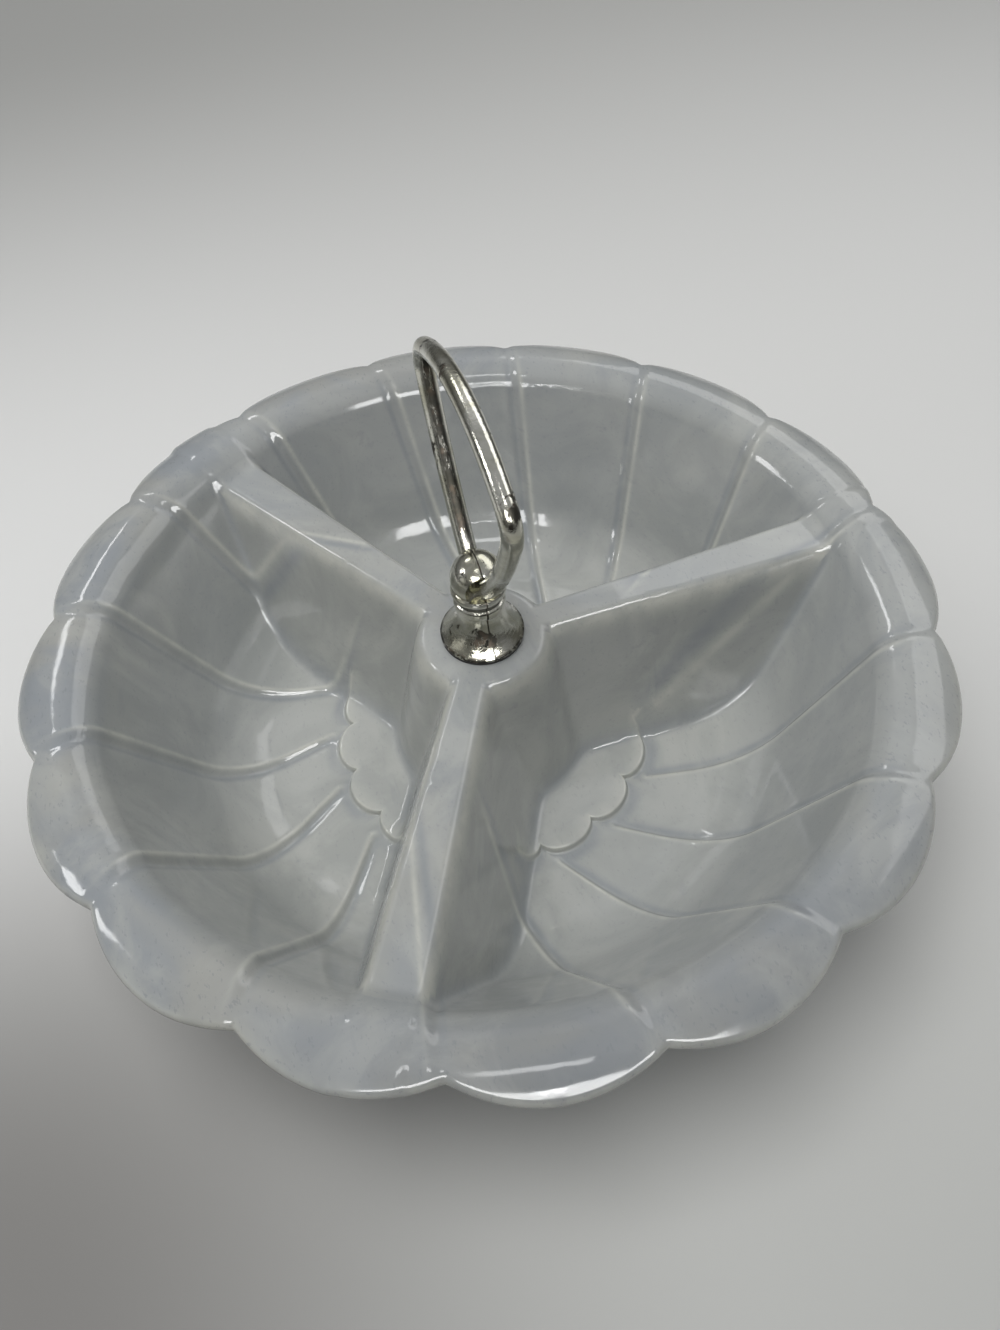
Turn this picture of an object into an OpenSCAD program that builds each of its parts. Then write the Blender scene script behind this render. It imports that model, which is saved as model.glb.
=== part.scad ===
// Divided serving dish: a scalloped ceramic bowl with three compartments, and a
// silver bail that swings in the eye of a ball finial at its centre.
// Millimetres, +Z up. The origin is on the dish's axis, at the surface it stands on.
// +X runs along the divider that meets the rim at a notch between two petals.

/* [Rim and petals] */
// Height of the rim at the notches between petals
rim_h = 65; // [60:0.5:75]
// Radius of the rim at the notches
notch_r = 132; // [130:0.5:136]
// How far each petal's middle stands out beyond the notches
petal_bow = 6; // [4:0.5:9]
// Number of petals round the dish
petals = 16; // [12:1:20]
// Radius of the circle that the petal lines are tangent to
swirl_r = 26.4; // [0:0.1:32]
// Height of the step where one petal overlaps the next
petal_step = 1; // [0.3:0.1:2]
// Height that each petal crowns between its lines
petal_crown = 0.3; // [0:0.1:1.5]

/* [Bowl] */
// Thickness of the ceramic wall
wall = 5.2; // [4:0.1:6.5]
// Thickness of the floor
floor_t = 6; // [5:0.1:8]
// Width of the lip, from where the rim is highest out to the notches
lip_w = 7; // [5:0.5:9]
// Height of the roll above the notches
peak_rise = 1.8; // [0.5:0.1:3]
// Radius of the curve from the wall into the roll
roll_r = 12.4; // [8:0.1:16]
// Radius of the curve from the roll down to the lip
lip_r = 20; // [18:0.5:40]
// Steepness of the wall, in degrees
wall_angle = 61; // [56:0.5:64]
// Radius of the curve from the floor into the wall
bowl_r = 30; // [20:0.5:36]
// Outer radius of the foot
foot_r = 71; // [68:0.5:74]
// Width of the foot
foot_w = 6.5; // [4:0.5:9]
// Height of the foot below the floor's underside
foot_h = 2; // [1:0.1:3]

/* [Hub and dividers] */
// Drop of the hub and dividers below the rim's notches
ridge_drop = 4; // [2:0.1:8]
// Radius of the hub's top
hub_r = 20; // [18:0.1:24]
// Draft of the hub's side, in degrees
hub_draft = 12; // [8:0.5:15]
// Width of a divider's top beside the hub
divider_w = 10.5; // [8:0.1:14]
// Width of a divider's top at the rim
divider_end_w = 16.5; // [12:0.1:20]
// Draft of a divider's sides, in degrees
divider_draft = 15.5; // [10:0.5:17]
// Rounding of the edges along the ridges
edge_round = 1.7; // [0.8:0.1:2.5]
// Height of the fillet where the ridges meet the bowl
foot_fillet = 9; // [4:0.5:12]
// Thickness of the ceramic at the top of the hub
hub_t = 6; // [4.5:0.1:8]
// Radius of the rosette at the middle of its lobes
rosette_r = 52; // [50:0.5:56]
// Depth of the notches between the rosette's lobes
rosette_notch = 5; // [2:0.5:6]
// Height of the rosette above the floor
rosette_h = 2.2; // [1:0.1:3]

/* [Finial] */
// Thickness of the gasket under the finial
gasket_t = 0.8; // [0.5:0.1:1.5]
// Diameter of the flange
flange_d = 25.1; // [23:0.1:28]
// Height of the flange's edge
flange_t = 1.9; // [1.2:0.1:3]
// Height of the bell, from the flange to the neck
bell_h = 10.6; // [9:0.1:12]
// Diameter of the neck
neck_d = 13.8; // [13.4:0.1:14.6]
// Height of the neck below the collar
neck_h = 0.8; // [0.5:0.1:3]
// Diameter of the collar's upper ring
collar_d = 16.2; // [15.8:0.1:17]
// Height of the collar
collar_h = 8.5; // [8:0.1:9]
// Diameter of the ball
ball_d = 15.8; // [15.6:0.1:17]
// Depth that the ball sinks into the collar
ball_sink = 5.2; // [5:0.1:5.4]
// Diameter of the pegs that locate the two halves
peg_d = 1.6; // [1:0.1:2]
// Length of the pegs, half of it in each half of the finial
peg_len = 4; // [2:0.1:5]

/* [Bail] */
// Diameter of the wire
wire_d = 5.5; // [5:0.1:6]
// Height of the crown above the pivot, at the wire's centre
bail_h = 64.7; // [58:0.1:72]
// Width across the corners, at the wire's centre
bail_w = 69.2; // [62:0.2:74]
// Length of the straight bar in the eye
pivot_len = 7; // [6:0.1:8]
// Radius of the bends beside the ball, at the wire's centre
bend_r = 4.6; // [4.4:0.1:6]
// Radius of the long curve of each side
side_r = 168; // [120:1:240]
// Radius of the two corners, at the wire's centre
corner_r = 8; // [6:0.1:11]
// Radius of the crown, at the wire's centre
crown_r = 60; // [50:0.5:80]
// Gap between the pivot bar and the eye
pivot_gap = 0.06; // [0.03:0.01:0.1]

/* [Fastening] */
// Diameter of the screw
screw_d = 4; // [3.5:0.1:4.5]
// Diameter of the hole through the hub
hub_hole_d = 7; // [5.5:0.1:8]
// Diameter of the insert
insert_d = 8; // [7:0.1:9]
// Length of the insert
insert_len = 10; // [8:0.1:11]
// Diameter of the screw's head
head_d = 8; // [7.2:0.1:9]
// Height of the screw's head
head_h = 2.8; // [2:0.1:3.5]
// Width of the slot in the screw's head
slot_w = 1.1; // [0.8:0.1:1.5]
// Diameter of the flat washers
washer_d = 18; // [14:0.5:22]
// Thickness of the steel washer
washer_t = 1; // [0.6:0.1:1.6]
// Thickness of the cushion washer
cushion_t = 1.6; // [1:0.1:2.5]
// Diameter of the lock washer
lock_d = 7.4; // [6.8:0.1:8.4]
// Thickness of the lock washer
lock_t = 1.1; // [0.8:0.1:1.5]

/* [Hidden] */
$fn = 72;

// One overrun serves all cuts, and one small gap serves what slips over the screw
cut_over = 1;
slip_gap = 0.05;

// Heights of the stack on the axis
floor_top = foot_h + floor_t;
ridge_h = rim_h - ridge_drop;
peak_h = rim_h + peak_rise;
finial_z = ridge_h + gasket_t;
bell_z = finial_z + flange_t;
neck_z = bell_z + bell_h;
collar_z = neck_z + neck_h;
ball_z = collar_z + collar_h - ball_sink + ball_d / 2;
ceiling_z = ridge_h - hub_t;
cushion_z = ceiling_z - cushion_t;
steel_z = cushion_z - washer_t;
lock_z = steel_z - lock_t;
head_z = lock_z - head_h;

// The bowl's inner outline: floor, curve, straight wall, curve into the roll, and lip
peak_r = notch_r - lip_w;
wall_top_r = peak_r - roll_r * sin(wall_angle);
wall_top_h = peak_h - roll_r * (1 - cos(wall_angle));
wall_low_h = floor_top + bowl_r * (1 - cos(wall_angle));
wall_low_r = wall_top_r - (wall_top_h - wall_low_h) / tan(wall_angle);
floor_r = wall_low_r - bowl_r * sin(wall_angle);
lip_fall_share = 0.95;

function lip_share(r) = min((r - peak_r) / lip_r, lip_fall_share);
function bowl_h(r) =
    r < floor_r ? floor_top :
    r < wall_low_r ? floor_top + bowl_r - sqrt(bowl_r ^ 2 - (r - floor_r) ^ 2) :
    r < wall_top_r ? wall_low_h + (r - wall_low_r) * tan(wall_angle) :
    r < peak_r ? peak_h - roll_r + sqrt(roll_r ^ 2 - (peak_r - r) ^ 2) :
    peak_h - lip_r * (1 - sqrt(1 - lip_share(r) ^ 2));
function bowl_slope(r) =
    r < floor_r ? 0 :
    r < wall_low_r ? tan(asin((r - floor_r) / bowl_r)) :
    r < wall_top_r ? tan(wall_angle) :
    r < peak_r ? tan(asin((peak_r - r) / roll_r)) :
    -tan(asin(lip_share(r)));

// The rim's outline is a round lobe from each notch to the next
petal_angle = 360 / petals;
crest_r = notch_r + petal_bow;
lobe_chord = notch_r * sin(petal_angle / 2);
lobe_rise = crest_r - notch_r * cos(petal_angle / 2);
lobe_r = (lobe_chord ^ 2 + lobe_rise ^ 2) / (2 * lobe_rise);
lobe_c = crest_r - lobe_r;
function part_share(a, step) = a / step - floor(a / step);
function off_lobe(a) = (part_share(a, petal_angle) - 0.5) * petal_angle;
function rim_at(a) = let (b = off_lobe(a))
    lobe_c * cos(b) + sqrt(lobe_r ^ 2 - (lobe_c * sin(b)) ^ 2);

// The petal lines are straight in plan, and tangent to the swirl's circle.
// Each petal rises from its low edge to its high one, and steps down to the next.
step_share = 0.12;
fade_share = 0.25;
rim_loss_share = 0.6;
function swirl(r) = asin(swirl_r / notch_r) - asin(min(swirl_r / r, 1));
function petal_share(a, r) = part_share(a - swirl(r), petal_angle);
function petal_rise(p) = min(p / (1 - step_share), (1 - p) / step_share);
function petal_relief(a, r) = let (p = petal_share(a, r))
    petal_step * (petal_rise(p) - 0.5) + petal_crown * (sin(180 * p) - 0.5);
function fade(r) = min(max((r / (rosette_r - rosette_notch) - 1) / fade_share, 0), 1);
function rim_keep(r) = 1 - rim_loss_share * min(max((r - wall_top_r) / (notch_r - wall_top_r), 0), 1);
function petal_h(a, r) = fade(r) * rim_keep(r) * petal_relief(a, r) * sqrt(1 + bowl_slope(r) ^ 2);

// The rosette's notches lie on the petal lines
function rosette_at(a) = let (p = petal_share(a, rosette_r - rosette_notch))
    rosette_r - rosette_notch * (1 - sqrt(sin(180 * p)));

// How far a ridge's surface has fallen below its top. Both blends end exactly, so that
// the tops stay flat. The underside follows the same rules, set in by the wall.
wall_in = wall / cos(divider_draft);
function hinge(d) = d < -edge_round ? 0 : d > edge_round ? d : (d + edge_round) ^ 2 / (4 * edge_round);
function blend(p, q) = let (f = foot_fillet ^ 2 * p * q / (p * q + foot_fillet ^ 2))
    (p + q - sqrt((p - q) ^ 2 + f)) / 2;
function higher(p, q) = let (d = abs(p - q))
    max(p, q) + (d < foot_fillet ? (foot_fillet - d) ^ 2 / (4 * foot_fillet) : 0);
function half_w(r) = let (t = min(max((r - hub_r) / (peak_r - hub_r), 0), 1))
    (divider_w + t * (divider_end_w - divider_w)) / 2;
function off_divider(a) = (part_share(a + 60, 120) - 0.5) * 120;
function hub_fall(r, inset) = hinge(r - hub_r + inset) / tan(hub_draft);
function side_fall(a, r, inset) =
    hinge(r * abs(sin(off_divider(a))) - half_w(r) + inset) / tan(divider_draft);
function ridge_fall(a, r, inset) = blend(hub_fall(r, inset), side_fall(a, r, inset));
function upper(a, r) = higher(
    bowl_h(r) + petal_h(a, r) + (r < rosette_at(a) ? rosette_h : 0),
    ridge_h - ridge_fall(a, r, 0));
function under_h(r) = r >= foot_r - foot_w && r <= foot_r ? 0 :
    bowl_h(r) - max(floor_t, wall * sqrt(1 + bowl_slope(r) ^ 2));
function lower(a, r) = higher(under_h(r), ceiling_z - ridge_fall(a, r, wall_in));

// The skin's points lie on rings. On each ring, the first stations from a divider's
// middle follow its edge and its foot, and the rest share out the compartment and
// settle on the petal lines that they come near.
half_stations = 24;
edge_stations = 7;
sector_stations = 2 * half_stations;
all_stations = 3 * sector_stations;
widest_share = 0.83;
fillet_w = foot_fillet * tan(divider_draft);
function foot_off(r, inset) = let (base = inset > 0 ? under_h(r) : bowl_h(r))
    max((ridge_h - max(base, ridge_h - hub_fall(r, inset))) * tan(divider_draft), 0);
function station_off(k, r, inset) =
    let (half = max(half_w(r) - inset, 0), foot = foot_off(r, inset), e = edge_round)
    k == 0 ? 0 :
    k == 1 ? (half + e / 2) / 3 :
    k == 2 ? half / 2 + half * e / (half + e) / 3 + e / 4 :
    k == 3 ? half + e / 2 :
    k == 4 ? half + e :
    k == 5 ? half + max(foot - fillet_w, 1.5 * e) :
    k == 6 ? half + max(foot, 2 * e) :
    half + max(foot + fillet_w, 3 * e);
function edge_angle(k, r, inset) = asin(min(station_off(k, r, inset) / r, widest_share * k / edge_stations));
function line_near(a, r, gap) = let (p = petal_share(a, r), d = (p > 0.5 ? p - 1 : p) * petal_angle)
    abs(d) < gap / 2 ? a - d : a;
function half_angle(k, r, inset) = k <= edge_stations ? edge_angle(k, r, inset) :
    let (a = edge_angle(edge_stations, r, inset))
    a + (60 - a) * (k - edge_stations) / (half_stations - edge_stations);
function station(j, r, inset) =
    let (sector = floor(j / sector_stations),
         u = j - sector * sector_stations,
         k = min(u, sector_stations - u),
         b = half_angle(k, r, inset),
         a = sector * 120 + (u > half_stations ? 120 - b : b),
         gap = half_angle(half_stations, r, inset) - half_angle(half_stations - 1, r, inset))
    k > edge_stations ? line_near(a, r, gap) : a;

// Rings of the upper side, from the hub out, of the lip, and of the underside, from the rim in
lip_round = wall / 2;
hub_foot_r = hub_r + (ridge_h - floor_top) * tan(hub_draft);
hub_in_r = hub_r - wall_in;
hub_in_foot_r = hub_in_r + (ceiling_z - foot_h) * tan(hub_draft);
foot_round = foot_h / 3;
rosette_edge = rosette_h / 4;
UPPER_RINGS = [
    hub_r - edge_round, hub_r, hub_r + edge_round, hub_foot_r - fillet_w, hub_foot_r,
    hub_foot_r + fillet_w, rosette_r - rosette_notch - rosette_edge, rosette_r,
    (rosette_r + floor_r) / 2, floor_r,
    for (t = [1:4]) floor_r + bowl_r * sin(wall_angle * t / 4),
    (wall_low_r + wall_top_r) / 2,
    for (t = [3:-1:0]) peak_r - roll_r * sin(wall_angle * t / 3)];
INNER_ROSETTE = 6;
OUTER_ROSETTE = 7;
LOWER_RINGS = [
    for (t = [0:3]) peak_r - roll_r * sin(wall_angle * t / 3),
    (wall_low_r + wall_top_r) / 2,
    for (t = [4:-1:2]) floor_r + bowl_r * sin(wall_angle * t / 4),
    foot_r + foot_round, foot_r, foot_r - foot_w, foot_r - foot_w - foot_round,
    hub_in_foot_r + edge_round, hub_in_foot_r - edge_round,
    hub_in_r + edge_round, hub_in_r, hub_in_r - edge_round];
LIP_STEPS = 4;

function place(a, r, z) = [r * cos(a), r * sin(a), z];
function ring_r(i, a) = i == INNER_ROSETTE ? rosette_at(a) - rosette_edge :
    i == OUTER_ROSETTE ? rosette_at(a) + rosette_edge : UPPER_RINGS[i];
function lip_tilt(a) = -atan(bowl_slope(rim_at(a) - lip_round));
function lip_start(a) = rim_at(a) - lip_round * (1 - sin(lip_tilt(a)));
function lip_end(a) = rim_at(a) - lip_round * (1 + sin(lip_tilt(a)));
function lip_point(a, turn) =
    let (tilt = lip_tilt(a),
         z = upper(a, lip_start(a)) - lip_round * cos(tilt))
    place(a, rim_at(a) - lip_round * (1 - sin(tilt + turn)), z + lip_round * cos(tilt + turn));

SKIN_RINGS = concat(
    [for (i = [0:len(UPPER_RINGS) - 1]) [for (j = [0:all_stations - 1])
        let (a = station(j, UPPER_RINGS[i], 0), r = ring_r(i, a)) place(a, r, upper(a, r))]],
    [[for (j = [0:all_stations - 1])
        let (a = station(j, notch_r, 0), r = (peak_r + lip_start(a)) / 2) place(a, r, upper(a, r))]],
    [for (t = [0:LIP_STEPS]) [for (j = [0:all_stations - 1])
        lip_point(station(j, notch_r, 0), 180 * t / LIP_STEPS)]],
    [for (i = [0:len(LOWER_RINGS) - 1]) [for (j = [0:all_stations - 1])
        let (r = LOWER_RINGS[i], a = station(j, r, wall_in)) place(a, r, lower(a, r))]]);
SKIN_POINTS = concat([for (ring = SKIN_RINGS, p = ring) p],
    [[0, 0, ridge_h], [0, 0, ceiling_z]]);
function at(i, j) = i * all_stations + j % all_stations;
last_ring = len(SKIN_RINGS) - 1;
top_middle = len(SKIN_POINTS) - 2;
low_middle = len(SKIN_POINTS) - 1;
SKIN_FACES = concat(
    [for (j = [0:all_stations - 1]) [top_middle, at(0, j + 1), at(0, j)]],
    [for (i = [0:last_ring - 1], j = [0:all_stations - 1], half = [0, 1])
        half == 0 ? [at(i, j), at(i, j + 1), at(i + 1, j)] : [at(i, j + 1), at(i + 1, j + 1), at(i + 1, j)]],
    [for (j = [0:all_stations - 1]) [low_middle, at(last_ring, j), at(last_ring, j + 1)]]);

module dish() {
    color([0.72, 0.74, 0.77])
    difference() {
        polyhedron(points = SKIN_POINTS, faces = SKIN_FACES);
        translate([0, 0, ceiling_z - cut_over])
            cylinder(d = hub_hole_d, h = hub_t + 2 * cut_over);
    }
}

// A flat ring from height z up
module ring(outer_d, hole_d, z, thick) {
    translate([0, 0, z])
    difference() {
        cylinder(d = outer_d, h = thick);
        translate([0, 0, -cut_over]) cylinder(d = hole_d, h = thick + 2 * cut_over);
    }
}

gasket_in = 0.2;
module gasket() {
    color([0.1, 0.1, 0.1])
    ring(flange_d - 2 * gasket_in, hub_hole_d, ridge_h, gasket_t);
}

// The finial's outline below the ball: flange, bell, neck and the two-ringed collar
flange_round = flange_t / 4;
bell_power_share = 2;
bell_steps = 12;
bell_top_r = flange_d / 2 - flange_round;
FLANGE = [[0, 0], [bell_top_r, 0], [flange_d / 2, flange_round],
    [flange_d / 2, flange_t - flange_round]];
BELL = [for (t = [0:bell_steps]) let (s = t / bell_steps)
    [neck_d / 2 + (bell_top_r - neck_d / 2) * (1 - s) ^ bell_power_share, flange_t + s * bell_h]];
RING_SHARES = [[0, 0], [0.35, 0], [0.55, 0.05], [0.6, 0.17], [0.55, 0.29], [0.35, 0.34], [0, 0.38],
    [0, 0.64], [0.7, 0.69], [0.95, 0.73], [1, 0.81], [0.9, 0.89], [0.6, 0.95], [0.2, 1]];
COLLAR = [for (s = RING_SHARES)
    [neck_d / 2 + s[0] * (collar_d - neck_d) / 2, collar_z - finial_z + s[1] * collar_h]];
collar_top_h = collar_z + collar_h - finial_z;

// The eye fits the straight bar. Its two mouths open as steeply as the wire leaves, and
// end just below the bar, so that the upper ring stays whole
pivot_r = wire_d / 2 + pivot_gap;
mouth_spare = 0.4;
module mouths() {
    intersection() {
        for (side = [0, 1]) mirror([0, side, 0])
            translate([0, pivot_len / 2, 0]) rotate([-90, 0, 0])
            cylinder(r1 = pivot_r, r2 = pivot_r + ball_d / 2 * tan(leave_angle), h = ball_d / 2);
        translate([-ball_d, -ball_d, -pivot_r - mouth_spare]) cube(2 * ball_d);
    }
}

module finial_body() {
    difference() {
        union() {
            translate([0, 0, finial_z])
            rotate_extrude()
            polygon(concat(FLANGE, BELL, COLLAR, [[0, collar_top_h]]));
            translate([0, 0, ball_z]) sphere(d = ball_d);
        }
        translate([0, 0, finial_z - cut_over]) cylinder(d = insert_d, h = insert_len + cut_over);
        translate([0, 0, ball_z]) {
            rotate([90, 0, 0]) cylinder(r = pivot_r, h = ball_d + 2 * cut_over, center = true);
            mouths();
        }
    }
}

peg_z = collar_z + collar_h / 4;
peg_y = neck_d / 2 - peg_d - slip_gap;
module pegs(d, len) {
    for (side = [-1, 1])
        translate([0, side * peg_y, peg_z]) rotate([0, 90, 0]) cylinder(d = d, h = len, center = true);
}

module half_space(side) {
    reach = flange_d;
    translate([side < 0 ? -reach : 0, -reach, finial_z - reach]) cube([reach, 2 * reach, 4 * reach]);
}

module finial_left() {
    color([0.78, 0.78, 0.76]) {
        intersection() {
            finial_body();
            half_space(-1);
        }
        pegs(peg_d, peg_len);
    }
}

module finial_right() {
    color([0.8, 0.8, 0.78])
    difference() {
        intersection() {
            finial_body();
            half_space(1);
        }
        pegs(peg_d + 2 * slip_gap, peg_len + 2 * slip_gap);
    }
}

// The bail's outline in its own plane, as [out from the axis, up from the pivot]: the
// centres of four arcs that meet smoothly, from the bend at the ball to the crown
function meeting(p, p_r, q, q_r) =
    let (d = norm(q - p), e = (q - p) / d, x = (p_r ^ 2 - q_r ^ 2 + d ^ 2) / (2 * d),
         y = sqrt(p_r ^ 2 - x ^ 2))
    p + e * x + y * [-e[1], e[0]];
function heading(from, to) = atan2(to[1] - from[1], to[0] - from[0]);
bend_c = [pivot_len / 2, bend_r];
crown_c = [0, bail_h - crown_r];
corner_out = bail_w / 2 - corner_r;
corner_c = [corner_out, crown_c[1] + sqrt((crown_r - corner_r) ^ 2 - corner_out ^ 2)];
side_c = meeting(bend_c, side_r - bend_r, corner_c, side_r - corner_r);
bend_end = heading(side_c, bend_c);
leave_angle = 90 + bend_end;

// The wire is swept along the arcs: [centre, radius, from, to, number of steps]
side_end = heading(side_c, corner_c);
corner_end = heading(crown_c, corner_c);
ARCS = [
    [bend_c, bend_r, -90, bend_end, 6],
    [side_c, side_r, bend_end, side_end, 6],
    [corner_c, corner_r, side_end, corner_end, 10],
    [crown_c, crown_r, corner_end, 90, 8]];
wire_sides = 24;
end_share = 0.99;
function on_circle(b) = [cos(b), sin(b)];
HALF_CHAIN = [for (arc = ARCS) for (t = [0:arc[4] - 1])
    let (b = arc[2] + (arc[3] - arc[2]) * t / arc[4]) [arc[0] + arc[1] * on_circle(b), on_circle(b)]];
function across(p) = [[-p[0][0], p[0][1]], [-p[1][0], p[1][1]]];
half_len = len(HALF_CHAIN);
CHAIN = concat(HALF_CHAIN, [[[0, bail_h], [0, 1]]],
    [for (i = [half_len - 1:-1:0]) across(HALF_CHAIN[i])]);
WIRE_POINTS = [for (i = [0:2 * half_len]) for (k = [0:wire_sides - 1])
    let (c = CHAIN[i][0], out = CHAIN[i][1], e = 360 * k / wire_sides,
         r = wire_d / 2 * (i == 0 || i == 2 * half_len ? end_share : 1))
    [r * sin(e), c[0] + r * cos(e) * out[0], c[1] + r * cos(e) * out[1]]];
function wire_at(i, k) = i * wire_sides + k % wire_sides;
WIRE_FACES = concat(
    [for (k = [1:wire_sides - 2]) [wire_at(0, 0), wire_at(0, k + 1), wire_at(0, k)]],
    [for (i = [0:2 * half_len - 1], k = [0:wire_sides - 1], half = [0, 1])
        half == 0 ? [wire_at(i, k), wire_at(i, k + 1), wire_at(i + 1, k)] :
        [wire_at(i, k + 1), wire_at(i + 1, k + 1), wire_at(i + 1, k)]],
    [for (k = [1:wire_sides - 2])
        [wire_at(2 * half_len, 0), wire_at(2 * half_len, k), wire_at(2 * half_len, k + 1)]]);

module bail() {
    color([0.76, 0.76, 0.74])
    translate([0, 0, ball_z]) {
        rotate([90, 0, 0]) cylinder(d = wire_d, h = pivot_len, center = true);
        polyhedron(points = WIRE_POINTS, faces = WIRE_FACES);
    }
}

// The insert has two grooves that lock it in the finial
groove_depth = 0.5;
groove_share = 0.12;
module insert() {
    color([0.72, 0.6, 0.3])
    difference() {
        translate([0, 0, finial_z]) cylinder(d = insert_d, h = insert_len);
        for (s = [0.3, 0.62])
            ring(insert_d + cut_over, insert_d - 2 * groove_depth,
                 finial_z + s * insert_len, groove_share * insert_len);
        translate([0, 0, finial_z - cut_over])
            cylinder(d = screw_d + 2 * slip_gap, h = insert_len + 2 * cut_over);
    }
}

// A pan head with a rounded lower edge and a slot, and a shank that ends in the insert
head_round = head_h / 2;
head_steps = 6;
slot_depth = head_h / 2;
tip_back = 1.2;
tip_z = finial_z + insert_len - tip_back;
module clamp_screw() {
    color([0.7, 0.7, 0.7])
    translate([0, 0, head_z])
    difference() {
        union() {
            rotate_extrude()
            polygon(concat([[0, 0]],
                [for (t = [0:head_steps]) let (b = 90 * t / head_steps)
                    [head_d / 2 - head_round * (1 - sin(b)), head_round * (1 - cos(b))]],
                [[head_d / 2, head_h], [0, head_h]]));
            cylinder(d = screw_d, h = tip_z - head_z);
        }
        translate([-head_d, -slot_w / 2, -cut_over]) cube([2 * head_d, slot_w, slot_depth + cut_over]);
    }
}

lock_split = 0.8;
module lock_washer() {
    color([0.62, 0.63, 0.64])
    difference() {
        ring(lock_d, screw_d + 2 * slip_gap, lock_z, lock_t);
        translate([0, -lock_split / 2, lock_z - cut_over])
            cube([lock_d, lock_split, lock_t + 2 * cut_over]);
    }
}

module steel_washer() {
    color([0.66, 0.67, 0.68])
    ring(washer_d, screw_d + 4 * slip_gap, steel_z, washer_t);
}

module cushion_washer() {
    color([0.45, 0.3, 0.2])
    ring(washer_d, screw_d + 4 * slip_gap, cushion_z, cushion_t);
}

dish();
gasket();
finial_left();
finial_right();
insert();
bail();
clamp_screw();
lock_washer();
steel_washer();
cushion_washer();
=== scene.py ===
import bpy
import numpy as np
from mathutils import Matrix, Vector


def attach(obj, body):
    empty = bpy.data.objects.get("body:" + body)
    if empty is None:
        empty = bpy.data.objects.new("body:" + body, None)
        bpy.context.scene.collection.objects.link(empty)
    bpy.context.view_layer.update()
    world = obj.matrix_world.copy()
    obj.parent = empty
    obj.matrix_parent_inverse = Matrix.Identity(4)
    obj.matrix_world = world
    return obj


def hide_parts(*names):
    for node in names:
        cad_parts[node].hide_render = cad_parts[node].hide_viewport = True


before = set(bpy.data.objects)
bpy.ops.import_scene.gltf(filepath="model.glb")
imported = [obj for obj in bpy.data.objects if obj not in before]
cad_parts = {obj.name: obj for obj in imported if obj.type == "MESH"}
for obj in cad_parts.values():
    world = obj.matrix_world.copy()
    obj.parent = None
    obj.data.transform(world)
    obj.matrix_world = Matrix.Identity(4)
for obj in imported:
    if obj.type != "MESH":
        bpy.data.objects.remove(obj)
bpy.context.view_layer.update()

MM = 0.001

# Camera
# Solved from the sixteen notches of the rim: it aims at the dish's axis at the notches' height
NOTCH_H = 65.0 * MM
CAM_DISTANCE = 319.6 * MM
CAM_ELEVATION = np.radians(50.80)
CAM_AZIMUTH = np.radians(-104.58)
CAM_PAN = np.radians(0.76)
CAM_TILT = np.radians(2.27)
CAM_ROLL = np.radians(5.46)
CAM_LENS_MM = 38.6
CAM_SENSOR_MM = 36.0
CAM_CLIP = 10.0 * MM


def make_camera():
    aim = Vector((0, 0, NOTCH_H))
    out = Vector((np.cos(CAM_ELEVATION) * np.cos(CAM_AZIMUTH),
                  np.cos(CAM_ELEVATION) * np.sin(CAM_AZIMUTH), np.sin(CAM_ELEVATION)))
    right = Vector((-np.sin(CAM_AZIMUTH), np.cos(CAM_AZIMUTH), 0))
    up = out.cross(right)
    base = Matrix((right, up, out)).transposed()
    turn = (Matrix.Rotation(CAM_ROLL, 3, "Z") @ Matrix.Rotation(CAM_PAN, 3, "Y")
            @ Matrix.Rotation(CAM_TILT, 3, "X"))
    data = bpy.data.cameras.new("camera")
    data.lens = CAM_LENS_MM
    data.sensor_width = CAM_SENSOR_MM
    data.sensor_fit = "HORIZONTAL"
    data.clip_start = CAM_CLIP
    cam = bpy.data.objects.new("camera", data)
    bpy.context.scene.collection.objects.link(cam)
    cam.matrix_world = Matrix.Translation(aim + CAM_DISTANCE * out) @ (base @ turn.inverted()).to_4x4()
    bpy.context.scene.camera = cam


make_camera()

# Dish dimensions, mm
RIM_H, NOTCH_R, CREST_R, PETALS, SWIRL_R = 65.0, 132.0, 137.7, 16, 26.4
PETAL_STEP, PETAL_CROWN = 1.0, 0.3
WALL, FLOOR_T, PEAK_R, PEAK_RISE, ROLL_R, LIP_R = 5.2, 6.0, 125.0, 1.8, 12.4, 20.0
WALL_ANGLE, BOWL_R, FOOT_R, FOOT_W, FOOT_H = np.radians(61.0), 30.0, 71.0, 6.5, 2.0
RIDGE_DROP, HUB_R, HUB_DRAFT = 4.0, 20.0, np.radians(12.0)
DIV_W, DIV_END_W, DIV_DRAFT = 10.5, 16.5, np.radians(15.5)
EDGE, FILLET, HUB_T = 2.2, 9.0, 6.0
ROS_R, ROS_NOTCH, ROS_H = 52.0, 5.0, 2.2

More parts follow.
